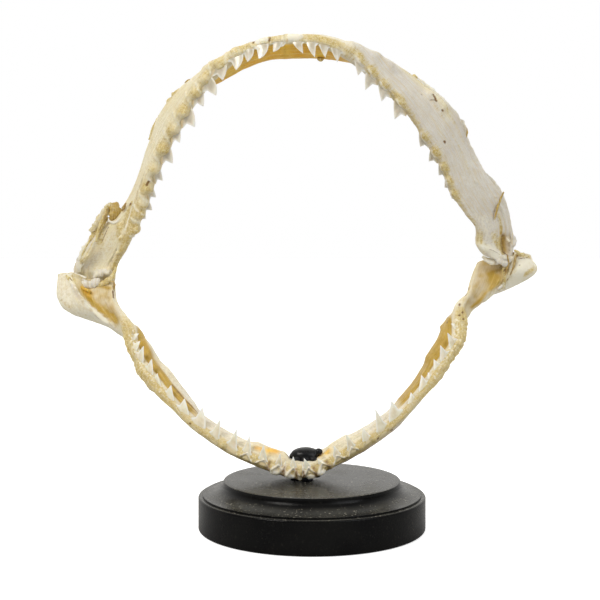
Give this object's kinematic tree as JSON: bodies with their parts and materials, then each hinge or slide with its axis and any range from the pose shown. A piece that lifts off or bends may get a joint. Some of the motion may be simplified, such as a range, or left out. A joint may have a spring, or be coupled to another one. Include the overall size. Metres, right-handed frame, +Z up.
{
  "type": "shark jaw",
  "caption": "Dried shark jaw, spread wide open with a toothed upper and lower arch, standing on a turned round black base.",
  "frame": {"origin": "centre of the base's flat underside", "axes": "+Z up; the mouth opens towards -Y, the viewer's side; +X is the viewer's right, where the upper jaw shows its outer face"},
  "size_m": [0.2808, 0.1442, 0.2588],
  "materials": {
    "dried_cartilage": "dried shark cartilage with a thin glaze, cream to ochre, with ivory teeth",
    "black_wood": "satin black paint on turned wood",
    "black_filler": "gloss black filler over the screw head"
  },
  "bodies": {
    "root": {"upper_jaw_left": "dried_cartilage", "upper_jaw_right": "dried_cartilage", "lower_jaw_left": "dried_cartilage", "lower_jaw_right": "dried_cartilage", "stand_base": "black_wood", "stand_knob": "black_filler"}
  },
  "joints": []
}
